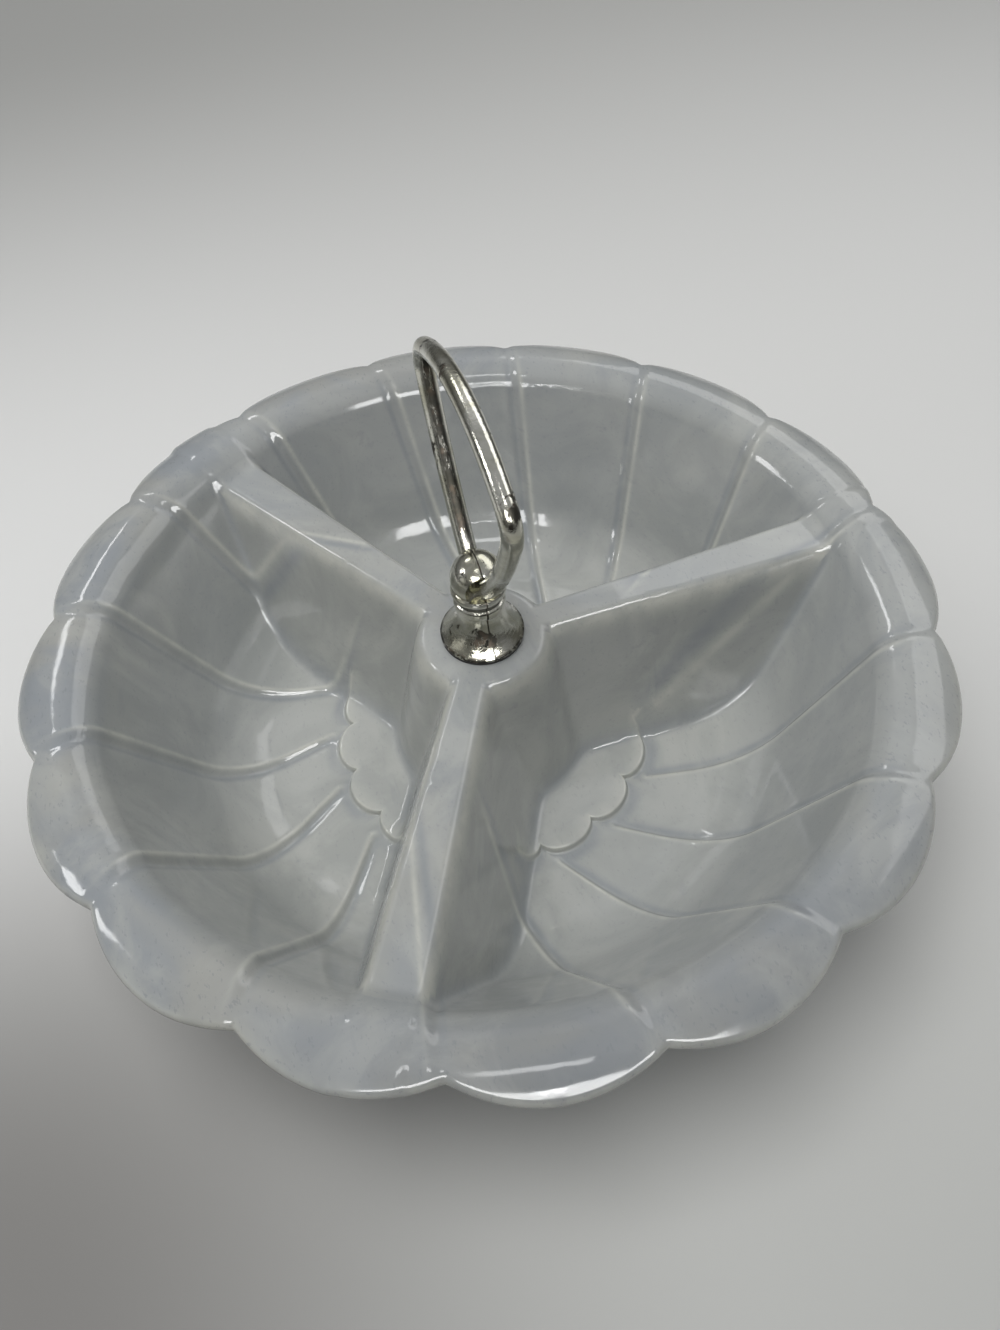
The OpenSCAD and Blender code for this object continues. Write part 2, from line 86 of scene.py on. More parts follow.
FLOOR_TOP = FOOT_H + FLOOR_T
RIDGE_H = RIM_H - RIDGE_DROP
CEILING = RIDGE_H - HUB_T
PEAK_H = RIM_H + PEAK_RISE
WT_R = PEAK_R - ROLL_R * np.sin(WALL_ANGLE)
WT_H = PEAK_H - ROLL_R * (1 - np.cos(WALL_ANGLE))
WL_H = FLOOR_TOP + BOWL_R * (1 - np.cos(WALL_ANGLE))
WL_R = WT_R - (WT_H - WL_H) / np.tan(WALL_ANGLE)
FLOOR_R = WL_R - BOWL_R * np.sin(WALL_ANGLE)
PETAL_A = 2 * np.pi / PETALS
CHORD = NOTCH_R * np.sin(PETAL_A / 2)
RISE = CREST_R - NOTCH_R * np.cos(PETAL_A / 2)
LOBE_R = (CHORD ** 2 + RISE ** 2) / (2 * RISE)
LOBE_C = CREST_R - LOBE_R
# Share of a petal taken by its step down, and share of its relief that it loses on the rim
STEP_SHARE, RIM_LOSS = 0.07, 0.75
CREASE_RIDGE_H, CREASE_RIDGE_W = 0.14, 1.1
CREASE_GROOVE_H, CREASE_GROOVE_W, CREASE_GROOVE_OFF = 0.3, 1.2, 0.3
ROS_FADE, ROS_EDGE = 0.25, 1.1
FOOT_EDGE = 0.7
# Sines at which the slopes of the lip and of the curves are held
LIP_LIMIT, CURVE_LIMIT = 0.95, 0.99


def step(v, start, over):
    """0 up to the start and 1 from its end on."""
    return np.clip((v - start) / over, 0, 1)


def smooth(t):
    """0 up to 0 and 1 from 1 on, eased at both ends."""
    t = np.clip(t, 0, 1)
    return t * t * (3 - 2 * t)


def near(d, at, width):
    """1 at one distance, falling away on both sides over the width."""
    return np.exp(-((d - at) / width) ** 2)


def off_middle(a, span):
    """Azimuth from the middle of the span in which it lies, spans being counted from 0."""
    q = a / span
    return (q - np.floor(q) - 0.5) * span


def lip_share(r):
    return np.clip((r - PEAK_R) / LIP_R, 0, LIP_LIMIT)


def bowl_h(r):
    """Height of the bowl's skin: floor, curve, wall, roll and lip."""
    low = np.sqrt(np.maximum(BOWL_R ** 2 - np.maximum(r - FLOOR_R, 0) ** 2, 0))
    roll = np.sqrt(np.maximum(ROLL_R ** 2 - (PEAK_R - r) ** 2, 0))
    return np.select(
        [r < FLOOR_R, r < WL_R, r < WT_R, r < PEAK_R],
        [0 * r + FLOOR_TOP, FLOOR_TOP + BOWL_R - low, WL_H + (r - WL_R) * np.tan(WALL_ANGLE),
         PEAK_H - ROLL_R + roll],
        PEAK_H - LIP_R * (1 - np.sqrt(1 - lip_share(r) ** 2)))


def bowl_slope(r):
    return np.select(
        [r < FLOOR_R, r < WL_R, r < WT_R, r < PEAK_R],
        [0 * r, np.tan(np.arcsin(np.clip((r - FLOOR_R) / BOWL_R, 0, CURVE_LIMIT))),
         0 * r + np.tan(WALL_ANGLE), np.tan(np.arcsin(np.clip((PEAK_R - r) / ROLL_R, 0, CURVE_LIMIT)))],
        -np.tan(np.arcsin(lip_share(r))))


def rim_at(a):
    """Radius of the scalloped rim: one arc over each petal."""
    b = off_middle(a, PETAL_A)
    return LOBE_C * np.cos(b) + np.sqrt(LOBE_R ** 2 - (LOBE_C * np.sin(b)) ** 2)


def swirl(r):
    """Azimuth by which a petal line has turned: it is straight and tangent to the swirl's circle."""
    return np.arcsin(SWIRL_R / NOTCH_R) - np.arcsin(np.minimum(SWIRL_R / np.maximum(r, 1e-6), 1))


def petal_share(a, r):
    q = (a - swirl(r)) / PETAL_A
    return q - np.floor(q)


def line_mm(a, r):
    """Signed distance from the nearest petal line, along the ring: positive on its low side."""
    p = petal_share(a, r)
    return np.where(p > 0.5, p - 1, p) * PETAL_A * r


def petal_relief(a, r):
    p = petal_share(a, r)
    t = step(p, 1 - STEP_SHARE, STEP_SHARE)
    rise = np.where(p < 1 - STEP_SHARE, p / (1 - STEP_SHARE), 0.5 + 0.5 * np.cos(np.pi * t))
    return PETAL_STEP * (rise - 0.5) + PETAL_CROWN * (np.sin(np.pi * p) - 0.5)


def crease(a, r):
    """A thin ridge along the high side of each petal line and a groove along its low side."""
    d = line_mm(a, r)
    ridge = near(d, -STEP_SHARE * PETAL_A * r, CREASE_RIDGE_W)
    return CREASE_RIDGE_H * ridge - CREASE_GROOVE_H * near(d, CREASE_GROOVE_OFF, CREASE_GROOVE_W)


def fade(r):
    """The petals fade out towards the rosette."""
    return step(r / (ROS_R - ROS_NOTCH), 1, ROS_FADE)


def rim_keep(r):
    """The petals lose most of their relief on the rim."""
    return 1 - RIM_LOSS * step(r, WT_R, NOTCH_R - WT_R)


def petal_h(a, r):
    return fade(r) * rim_keep(r) * (petal_relief(a, r) + crease(a, r)) * np.sqrt(1 + bowl_slope(r) ** 2)


def rosette_at(a):
    """Radius of the scalloped rosette."""
    p = petal_share(a, 0 * a + ROS_R - ROS_NOTCH)
    return ROS_R - ROS_NOTCH * (1 - np.sqrt(np.sin(np.pi * p)))


def hinge(d):
    """0 up to the edge and d past it, with the edge rounded."""
    return np.where(d < -EDGE, 0, np.where(d > EDGE, d, (d + EDGE) ** 2 / (4 * EDGE)))


def blend(p, q):
    """The lower of two falls, with a fillet between them."""
    f = FILLET ** 2 * p * q / (p * q + FILLET ** 2)
    return (p + q - np.sqrt((p - q) ** 2 + f)) / 2


def higher(p, q):
    """The higher of two surfaces, with a fillet where they meet."""
    d = np.abs(p - q)
    return np.maximum(p, q) + np.where(d < FILLET, (FILLET - d) ** 2 / (4 * FILLET), 0)


def half_w(r):
    """Half the width of a divider's top, which grows outwards."""
    return (DIV_W + step(r, HUB_R, PEAK_R - HUB_R) * (DIV_END_W - DIV_W)) / 2


def off_divider(a):
    """Azimuth from the nearest divider."""
    third = 2 * np.pi / 3
    return off_middle(a + third / 2, third)


def ridge_fall(a, r, inset=0.0):
    """How far the hub and dividers have fallen from their level top."""
    hub = hinge(r - HUB_R + inset) / np.tan(HUB_DRAFT)
    side = hinge(r * np.abs(np.sin(off_divider(a))) - half_w(r) + inset) / np.tan(DIV_DRAFT)
    return blend(hub, side)


def rosette(a, r):
    """1 inside the rosette, with a rounded edge."""
    return smooth((rosette_at(a) - r) / ROS_EDGE + 0.5)


def upper(a, r):
    """Height of the dish's upper face."""
    return higher(bowl_h(r) + petal_h(a, r) + ROS_H * rosette(a, r), RIDGE_H - ridge_fall(a, r))


WALL_IN = WALL / np.cos(DIV_DRAFT)


def under_h(r):
    """Height of the bowl's underside with its foot ring."""
    skin = bowl_h(r) - np.maximum(FLOOR_T, WALL * np.sqrt(1 + bowl_slope(r) ** 2))
    return skin * (1 - smooth(np.minimum(r - (FOOT_R - FOOT_W), FOOT_R - r) / FOOT_EDGE + 0.5))


def lower(a, r):
    """Height of the dish's underside."""
    return higher(under_h(r), CEILING - ridge_fall(a, r, WALL_IN))


# Dish mesh: counts of points and rings, and places in mm
STATIONS, SAMPLES = 640, 7200
# Weight and width with which the stations crowd at a ridge's edge, at its foot and by the petal lines
EDGE_CROWD, FOOT_CROWD, LINE_CROWD = (2.6, 1.6), (1.4, 3.0), (2.0, 3.2)
LINE_SHIFT, LINE_START, LINE_OVER = 2.0, 40.0, 15.0
# Cosine of the azimuth past which a divider has no say, and a distance that is far from any ridge
DIVIDER_REACH, FAR = 0.4, 1e3
HUB_TOP_RINGS = [9.0, 14.0, 16.8]
HUB_FOOT_RINGS = [22.6, 23.8, 25.2, 26.6, 28.0, 29.2, 30.2, 31.2, 32.4, 33.8, 35.4, 37.5, 40.0, 42.8, 45.2]
ROSETTE_RING, ROSETTE_STEPS = ROS_R - 2.0, (-1.2, -0.55, -0.3, -0.05, 0.2, 0.5, 1.2)
FLOOR_RINGS = [54.6, 57.0, 59.5, 62.0, 64.5]
UNDER_RINGS = [127.0, 125.0, 122.5, 120.0, 117.0, 114.0, 110.0, 106.0, 102.0, 98.0, 94.0, 90.0, 86.0,
               82.0, 78.5, 75.0, 72.4, 71.35, 71.0, 70.65, 68.0, 64.85, 64.5, 64.15, 63.2, 59.0, 54.0,
               49.0, 44.0, 39.5, 35.5, 32.0, 29.0, 26.5, 24.0, 21.5, 19.0, 17.2, 16.0, 15.2, 14.4, 13.6,
               12.8, 9.0, 5.0]
EDGE_RINGS, CURVE_RINGS, WALL_RINGS, ROLL_RINGS, LIP_RINGS, TURN_RINGS = 7, 16, 12, 14, 5, 11
LIP_RING, LIP_T = 128.0, WALL / 2


def crowd(d, weight, width):
    """Extra weight of the stations near a distance of 0."""
    return weight / (1 + (d / width) ** 2)


def spread(r, inset):
    """Azimuths of the stations on the ring of radius r, crowded where its shape turns quickly."""
    a = np.arange(SAMPLES) * 2 * np.pi / SAMPLES
    side = r * np.abs(np.sin(off_divider(a)))
    side = np.where(np.cos(off_divider(a)) < DIVIDER_REACH, FAR, side)
    half = max(float(half_w(np.array(r))) - inset, 0)
    base = float(bowl_h(np.array(r)))
    hub_top = RIDGE_H - float(hinge(np.array(r - HUB_R + inset))) / np.tan(HUB_DRAFT)
    foot = half + max(RIDGE_H - inset - max(base, hub_top), 0) * np.tan(DIV_DRAFT)
    weight = 1 + crowd(side - half, *EDGE_CROWD) + crowd(side - foot, *FOOT_CROWD)
    if inset == 0:
        lines = crowd(line_mm(a, np.full_like(a, r)) + LINE_SHIFT, *LINE_CROWD)
        weight += lines * step(r, LINE_START, LINE_OVER)
    total = np.concatenate([[0], np.cumsum(weight)])
    total /= total[-1]
    turns = np.interp(np.arange(STATIONS) / STATIONS, total, np.arange(SAMPLES + 1) / SAMPLES)
    return turns * 2 * np.pi


def arc_rings(lo, hi, r0, radius, n):
    """Radii of rings at equal angles along an arc of the section."""
    return [r0 + radius * np.sin(t) for t in np.linspace(lo, hi, n, endpoint=False)]


def tilt(a):
    """Angle of the rim to the level."""
    return -np.arctan(bowl_slope(rim_at(a) - LIP_T))


def lip_start(a):
    """Radius at which the lip's round edge starts."""
    return rim_at(a) - LIP_T * (1 - np.sin(tilt(a)))


def dish_rings():
    """Rings of azimuths, radii and heights, from the hub's top over the lip to its ceiling."""
    rings = []

    def add(r, face, inset=0.0, where=None):
        a = spread(r, inset)
        rr = np.full_like(a, r) if where is None else where(a)
        rings.append((a, rr, face(a, rr)))

    edge = list(np.linspace(HUB_R - EDGE, HUB_R + EDGE, EDGE_RINGS))
    for r in HUB_TOP_RINGS + edge + HUB_FOOT_RINGS:
        add(r, upper)
    for d in ROSETTE_STEPS:
        add(ROSETTE_RING, upper, where=lambda a, d=d: rosette_at(a) + d)
    curve = arc_rings(0, WALL_ANGLE, FLOOR_R, BOWL_R, CURVE_RINGS)
    wall = list(np.linspace(WL_R, WT_R, WALL_RINGS, endpoint=False))
    roll = arc_rings(WALL_ANGLE, 0, PEAK_R, -ROLL_R, ROLL_RINGS)
    for r in FLOOR_RINGS + curve + wall + roll:
        add(r, upper)
    for t in np.linspace(0, 1, LIP_RINGS, endpoint=False):
        add(LIP_RING, upper, where=lambda a, t=t: PEAK_R + t * (lip_start(a) - PEAK_R))
    a = spread(NOTCH_R, 0.0)
    w = tilt(a)
    z = upper(a, lip_start(a)) - LIP_T * np.cos(w)
    for turn in np.linspace(0, np.pi, TURN_RINGS):
        rings.append((a, rim_at(a) - LIP_T * (1 - np.sin(w + turn)), z + LIP_T * np.cos(w + turn)))
    for r in UNDER_RINGS:
        add(r, lower, WALL_IN)
    return rings


def ring_faces(n_rings, n):
    i, j = np.meshgrid(np.arange(n_rings - 1), np.arange(n), indexing="ij")
    k = (j + 1) % n
    return np.stack([i * n + j, (i + 1) * n + j, (i + 1) * n + k, i * n + k], -1).reshape(-1, 4)


def new_object(name, points_mm, faces):
    mesh = bpy.data.meshes.new(name)
    mesh.from_pydata((np.asarray(points_mm) * MM).tolist(), [], faces)
    mesh.validate()
    mesh.polygons.foreach_set("use_smooth", [True] * len(mesh.polygons))
    ob = bpy.data.objects.new(name, mesh)
    bpy.context.scene.collection.objects.link(ob)
    return ob


# Zones of the glaze, mm
# By an edge: how far past it the zone's middle lies, and its width
POOL_SHADE_LINE, POOL_SHADE_FOOT, POOL_SHADE_ROSETTE = (1.0, 1.5), (0.0, 6.5), (2.2, 2.2)
THIN_RIDGE, THIN_HUB, THIN_ROSETTE, THIN_LIP = (0.2, 1.5), (0.3, 1.5), (-0.5, 0.9), (0.0, 1.3)
THIN_LINE_W = 0.8
# Along a radius or a height: where the zone's change starts, and over how much it comes about
LINE_IN, LINE_OUT, RIM_ZONE = (44.0, 10.0), (114.0, 12.0), (113.0, 8.0)
LEVEL_ZONE, LEVEL_END = (-2.2, 1.6), (112.0, 6.0)
# Heights that keep a zone to the ridges, the floor or the rim, and the radius past which the lip counts
BELOW_TOP, ABOVE_BOWL, FLOOR_ZONE_H, RIM_ZONE_DROP, LIP_ZONE_R = 3.0, 4.0, 20.0, 10.0, NOTCH_R - 8.0
# How far from the dividers the hub's edge starts
HUB_CLEAR = 1.0
# Weights, and the share of the lines that is lost on the rim
POOL_SHADE_FOOT_SHARE, WALL_SHADE_SHARE, THIN_LINE_SHARE, THIN_LIP_SHARE, LEVEL_SHARE = 0.9, 0.45, 0.8, 0.7, 0.6
LINE_OUT_LOSS = 0.85


def glaze_zones(a, r, z):
    """Where the glaze pools and is painted with shade in the creases and on the steep walls, where it runs
    thin and where it has the rim's tone, as shares.
    """
    along_line = line_mm(a, r)
    gap = bowl_h(r) - (RIDGE_H - ridge_fall(a, r))
    past_rosette = r - rosette_at(a)
    off_ridge = r * np.abs(np.sin(off_divider(a))) - half_w(r)
    on_floor = z < FLOOR_ZONE_H

    lines = step(r, *LINE_IN) * (1 - LINE_OUT_LOSS * step(r, *LINE_OUT))
    # Pooled glaze with painted shade at the feet of the ridges
    foot = near(gap, *POOL_SHADE_FOOT) * (z < RIDGE_H - BELOW_TOP)
    # Painted shade on the steep walls, growing with their slope
    wall = (gap > 0) * np.clip(bowl_slope(r) / np.tan(WALL_ANGLE), 0, 1)
    pool_and_shade = np.maximum.reduce([lines * near(along_line, *POOL_SHADE_LINE), POOL_SHADE_FOOT_SHARE * foot,
                              near(past_rosette, *POOL_SHADE_ROSETTE) * on_floor, WALL_SHADE_SHARE * wall])

    high_line = lines * near(along_line, -STEP_SHARE * PETAL_A * r, THIN_LINE_W)
    ridge_edge = near(off_ridge, *THIN_RIDGE) * (z > bowl_h(r) + ABOVE_BOWL) * (r > HUB_R)
    hub_edge = near(r - HUB_R, *THIN_HUB) * (off_ridge > HUB_CLEAR)
    lip_edge = near(rim_at(a) - r, *THIN_LIP) * (r > LIP_ZONE_R)
    thin = np.maximum.reduce([THIN_LINE_SHARE * high_line, ridge_edge, hub_edge,
                              near(past_rosette, *THIN_ROSETTE) * on_floor, THIN_LIP_SHARE * lip_edge])

    rim = step(r, *RIM_ZONE) * (z > RIDGE_H - RIM_ZONE_DROP)
    level_top = step(z - RIDGE_H, *LEVEL_ZONE) * (1 - step(r, *LEVEL_END))
    return {"pool_and_shade": np.clip(pool_and_shade, 0, 1), "thin": np.clip(thin, 0, 1),
            "rim": np.maximum(rim, LEVEL_SHARE * level_top)}


def make_dish():
    rings = dish_rings()
    a, r, z = (np.concatenate([ring[k] for ring in rings]) for k in range(3))
    points = np.stack([r * np.cos(a), r * np.sin(a), z], 1)
    faces = ring_faces(len(rings), STATIONS).tolist()
    last = (len(rings) - 1) * STATIONS
    faces.append(list(range(STATIONS)))
    faces.append(list(range(last + STATIONS - 1, last - 1, -1)))
    ob = new_object("dish_body_glazed", points, faces)
    for name, shares in glaze_zones(a, r, z).items():
        att = ob.data.attributes.new(name, "FLOAT", "POINT")
        att.data.foreach_set("value", np.asarray(shares, dtype=np.float32))
    return ob


# Bail mesh: sizes in mm, and counts of sides and steps
WIRE_D, BAIL_H, BAIL_W, PIVOT_LEN = 5.5, 64.7, 69.2, 7.0
BEND_R, SIDE_R, CORNER_R, CROWN_R = 4.6, 168.0, 8.0, 60.0
BALL_Z = 86.3
BAIL_SIDES = 40
BEND_STEPS, SIDE_STEPS, CORNER_STEPS, CROWN_STEPS = 10, 40, 22, 30


def meeting(p, p_r, q, q_r):
    """The left-hand point at which two circles meet."""
    d = np.linalg.norm(q - p)
    e = (q - p) / d
    x = (p_r ** 2 - q_r ** 2 + d ** 2) / (2 * d)
    y = np.sqrt(p_r ** 2 - x ** 2)
    return p + e * x + y * np.array([-e[1], e[0]])


def heading(p, q):
    return np.arctan2(q[1] - p[1], q[0] - p[0])


def bail_chain():
    """Points along the wire's middle in its own plane, and the outward direction at each."""
    bend = np.array([PIVOT_LEN / 2, BEND_R])
    crown = np.array([0, BAIL_H - CROWN_R])
    out = BAIL_W / 2 - CORNER_R
    corner = np.array([out, crown[1] + np.sqrt((CROWN_R - CORNER_R) ** 2 - out ** 2)])
    side = meeting(bend, SIDE_R - BEND_R, corner, SIDE_R - CORNER_R)
    arcs = [(bend, BEND_R, -np.pi / 2, heading(side, bend), BEND_STEPS),
            (side, SIDE_R, heading(side, bend), heading(side, corner), SIDE_STEPS),
            (corner, CORNER_R, heading(side, corner), heading(crown, corner), CORNER_STEPS),
            (crown, CROWN_R, heading(crown, corner), np.pi / 2, CROWN_STEPS)]
    mids, outs = [np.array([0.0, 0.0])], [np.array([0.0, -1.0])]
    for c, rad, lo, hi, n in arcs:
        for t in np.linspace(lo, hi, n, endpoint=False):
            e = np.array([np.cos(t), np.sin(t)])
            mids.append(c + rad * e)
            outs.append(e)
    mids.append(np.array([0.0, BAIL_H]))
    outs.append(np.array([0.0, 1.0]))
    mids, outs = np.array(mids), np.array(outs)
    flip = np.array([-1.0, 1.0])
    mids = np.concatenate([mids, (mids[:-1] * flip)[::-1][:-1]])
    outs = np.concatenate([outs, (outs[:-1] * flip)[::-1][:-1]])
    return mids, outs


def make_bail():
    mids, outs = bail_chain()
    n, sides = len(mids), BAIL_SIDES
    e = np.arange(sides) * 2 * np.pi / sides
    ring = WIRE_D / 2
    x = np.tile(ring * np.sin(e), (n, 1))
    y = mids[:, :1] + ring * np.cos(e) * outs[:, :1]
    z = BALL_Z + mids[:, 1:] + ring * np.cos(e) * outs[:, 1:]
    points = np.stack([x, y, z], -1).reshape(-1, 3)
    i, j = np.meshgrid(np.arange(n), np.arange(sides), indexing="ij")
    i2, j2 = (i + 1) % n, (j + 1) % sides
    faces = np.stack([i * sides + j, i2 * sides + j, i2 * sides + j2, i * sides + j2], -1).reshape(-1, 4)
    return new_object("bail_wire_loop", points, faces.tolist())


# Ranges in m over which a look changes, and the share that it has at each end
RIM_RIGHT, RIM_RIGHT_SHARES = (0.03, 0.12), (0.9, 0.35)
# Painted shade: the rim darkens towards the front
RIM_FRONT, RIM_FRONT_SHARES = (-0.08, -0.125), (0.0, 0.55)
# Tarnish, which also serves as painted dark reflection, is likelier round a place on the bail's near corner
# and one on the finial's flare
FLARE_FRONT, NEAR_CORNER = (-0.002, -0.009, 0.0675), (0.001, -0.0365, 0.1445)
DARK_SPOT_AWAY, DARK_SPOT_SHARES = (0.002, 0.005), (0.2, 0.0)
# Painted dark reflection streaks on the far side wire: how far off its middle, from which Y on and up to
# which Z
REFLECT_STREAK_X, REFLECT_STREAK_Y, REFLECT_STREAK_Z = (0.001, 0.0021), (0.004, 0.01), (0.142, 0.147)
# Dark lines on the finial: its groove, the edge of its flange and its seam
GROOVE_Z, GROOVE_AWAY, GROOVE_SHARE = 79.5 * MM, (0.0008, 0.0012), 0.85
FLANGE_TOP = 63.7 * MM
FLANGE_DARK = (FLANGE_TOP - 0.0003, FLANGE_TOP + 0.0006)
SEAM_AWAY, SEAM_WAVE = (0.00016, 0.00034), 0.00012


# Materials
def srgb(*levels):
    """A linear colour from sRGB levels of 0 to 255."""
    shares = [level / 255 for level in levels]
    return [s / 12.92 if s <= 0.04045 else ((s + 0.055) / 1.055) ** 2.4 for s in shares] + [1.0]


GLAZE_DULL, GLAZE_LIGHT, GLAZE_BLOOM = srgb(160, 162, 158), srgb(177, 178, 173), srgb(160, 163, 164)
RIM_BLUE, RIM_GREY, RIM_FRONT_SHADE = srgb(141, 146, 151), srgb(157, 157, 152), srgb(122, 125, 127)
GLAZE_POOL_SHADE, GLAZE_THIN = srgb(130, 136, 142), srgb(203, 203, 193)
FLECK, SCRATCH, PIT = srgb(126, 130, 134), srgb(140, 144, 146), srgb(70, 68, 64)
BLOOM_SHARE, POOL_SHADE_SHARE, THIN_SHARE, FLECK_SHARE, SCRATCH_SHARE = 0.3, 0.6, 0.7, 0.4, 0.25
# Pits: cells per metre, the share of cells without one, its size in cells and its darkness
PIT_CELLS, PIT_PICKED_OVER, PIT_SIZE, PIT_SHARE = 58, 0.9, (0.02, 0.035), 0.75
GLAZE_IOR = 1.5
SILVER_LIGHT, SILVER_DULL = srgb(208, 207, 198), srgb(174, 172, 156)
TARNISH_REFLECT_BLACK, TARNISH_REFLECT_BROWN, TARNISH_REFLECT_SHARE = srgb(28, 26, 22), srgb(64, 54, 45), 0.93


class Nodes:
    """Short forms for building the nodes of one material, or of the world."""

    def __init__(self, name, world=None):
        self.mat = world or bpy.data.materials.new(name)
        self.mat.use_nodes = True
        self.tree = self.mat.node_tree
        self.bsdf = self.tree.nodes["Background" if world else "Principled BSDF"]
        self.coord = self.node("ShaderNodeTexCoord").outputs["Generated" if world else "Object"]

    def node(self, kind, **values):
        n = self.tree.nodes.new(kind)
        for key, value in values.items():
            setattr(n, key, value)
        return n

    def plug(self, value, socket):
        if isinstance(value, bpy.types.NodeSocket):
            self.tree.links.new(value, socket)
        else:
            socket.default_value = value

    def noise(self, scale, detail=4.0, rough=0.55, distort=0.0, stretch=(1, 1, 1), turn=(0, 0, 0)):
        m = self.node("ShaderNodeMapping")
        self.plug(self.coord, m.inputs["Vector"])
        m.inputs["Scale"].default_value = stretch
        m.inputs["Rotation"].default_value = turn
        n = self.node("ShaderNodeTexNoise")
        self.plug(m.outputs[0], n.inputs["Vector"])
        for key, value in (("Scale", scale), ("Detail", detail), ("Roughness", rough),
                           ("Distortion", distort)):
            n.inputs[key].default_value = value
        return n.outputs[0]

    def ramp(self, value, lo, hi, to_lo=0.0, to_hi=1.0):
        n = self.node("ShaderNodeMapRange")
        n.interpolation_type = "SMOOTHSTEP"
        self.plug(value, n.inputs["Value"])
        for key, v in (("From Min", lo), ("From Max", hi), ("To Min", to_lo), ("To Max", to_hi)):
            n.inputs[key].default_value = v
        return n.outputs[0]

    def math(self, kind, a, b=0.0):
        n = self.node("ShaderNodeMath", operation=kind)
        self.plug(a, n.inputs[0])
        self.plug(b, n.inputs[1])
        return n.outputs[0]

    def mix(self, share, a, b):
        n = self.node("ShaderNodeMix", data_type="RGBA")
        self.plug(share, n.inputs[0])
        self.plug(a, n.inputs[6])
        self.plug(b, n.inputs[7])
        return n.outputs[2]

    def attribute(self, name):
        return self.node("ShaderNodeAttribute", attribute_name=name).outputs["Fac"]

    def axes(self):
        n = self.node("ShaderNodeSeparateXYZ")
        self.plug(self.coord, n.inputs[0])
        return n.outputs

    def along(self, direction):
        """How far the coordinate lies along a direction."""
        n = self.node("ShaderNodeVectorMath", operation="DOT_PRODUCT")
        self.plug(self.coord, n.inputs[0])
        n.inputs[1].default_value = direction
        return n.outputs["Value"]

    def away(self, point):
        """Distance of the coordinate from a point."""
        n = self.node("ShaderNodeVectorMath", operation="DISTANCE")
        self.plug(self.coord, n.inputs[0])
        n.inputs[1].default_value = point
        return n.outputs["Value"]

    def bump(self, height, distance, strength=1.0, under=None):
        n = self.node("ShaderNodeBump")
        n.inputs["Strength"].default_value = strength
        n.inputs["Distance"].default_value = distance
        self.plug(height, n.inputs["Height"])
        if under is not None:
            self.plug(under, n.inputs["Normal"])
        return n.outputs[0]

    def finish(self, color=None, rough=None, normal=None, **fixed):
        for value, key in ((color, "Base Color"), (rough, "Roughness"), (normal, "Normal")):
            if value is not None:
                self.plug(value, self.bsdf.inputs[key])
        for key, value in fixed.items():
            self.bsdf.inputs[key.replace("_", " ")].default_value = value
        return self.mat


def glaze_material():
    m = Nodes("glaze_pale_blue_grey")
    cloud = m.ramp(m.noise(30, 5, 0.62, 0.8), 0.36, 0.66)
    broad = m.ramp(m.noise(9, 3, 0.5, 0.4), 0.35, 0.68)
    grain = m.noise(1000, 2, 0.6, 0.0, (1.0, 0.5, 1.0), (0, 0, 0.5))
    scratch = m.noise(170, 3, 0.6, 0.0, (1.0, 0.12, 1.0), (0, 0, 0.7))
    color = m.mix(cloud, GLAZE_DULL, GLAZE_LIGHT)
    rim = m.math("MULTIPLY", m.attribute("rim"), m.ramp(cloud, 0.0, 1.0, 0.95, 0.5))
    tone = m.mix(m.ramp(m.noise(22, 3, 0.55, 0.6), 0.4, 0.62), RIM_BLUE, RIM_GREY)
    # The rim's tone is weaker on the right, and a painted shade darkens it along the front
    x, y, _ = m.axes()
    color = m.mix(m.math("MULTIPLY", rim, m.ramp(x, *RIM_RIGHT, *RIM_RIGHT_SHARES)), color, tone)
    front_shade = m.math("MULTIPLY", rim, m.ramp(y, *RIM_FRONT, *RIM_FRONT_SHARES))
    color = m.mix(front_shade, color, RIM_FRONT_SHADE)
    color = m.mix(m.math("MULTIPLY", broad, BLOOM_SHARE), color, GLAZE_BLOOM)
    # Pooled glaze with painted shade: darker and bluer by the petal lines, at the ridges' feet, round the
    # rosette and on the walls
    pool_and_shade = m.math("MULTIPLY", m.attribute("pool_and_shade"), m.ramp(m.noise(60, 3, 0.6), 0.3, 0.6, 0.55, 1.0))
    color = m.mix(m.math("MULTIPLY", pool_and_shade, POOL_SHADE_SHARE), color, GLAZE_POOL_SHADE)
    thin = m.math("MULTIPLY", m.attribute("thin"), m.ramp(m.noise(90, 3, 0.6), 0.35, 0.6, 0.5, 1.0))
    color = m.mix(m.math("MULTIPLY", thin, THIN_SHARE), color, GLAZE_THIN)
    fleck = m.math("MULTIPLY", m.ramp(grain, 0.6, 0.7, 0.0, FLECK_SHARE), m.ramp(rim, 0.0, 1.0, 0.45, 1.0))
    color = m.mix(fleck, color, FLECK)
    color = m.mix(m.ramp(scratch, 0.64, 0.72, 0.0, SCRATCH_SHARE), color, SCRATCH)
    cell = m.node("ShaderNodeTexVoronoi")
    cell.inputs["Scale"].default_value = PIT_CELLS
    m.plug(m.coord, cell.inputs["Vector"])
    picked = m.node("ShaderNodeSeparateColor")
    m.plug(cell.outputs["Color"], picked.inputs[0])
    pit = m.math("MULTIPLY", m.ramp(cell.outputs["Distance"], *PIT_SIZE, 1.0, 0.0),
                 m.math("GREATER_THAN", picked.outputs[0], PIT_PICKED_OVER))
    color = m.mix(m.math("MULTIPLY", pit, PIT_SHARE), color, PIT)
    rough = m.math("ADD", m.ramp(m.noise(70, 4, 0.6), 0.3, 0.7, 0.05, 0.12), m.math("MULTIPLY", thin, 0.04))
    peel = m.bump(m.noise(95, 2, 0.5), 0.0005, 0.3)
    wave = m.bump(m.noise(26, 2, 0.5), 0.003, 0.2, peel)
    normal = m.bump(m.math("MULTIPLY", pit, -1.0), 0.0002, 0.8, wave)
    return m.finish(color, rough, normal, IOR=GLAZE_IOR)


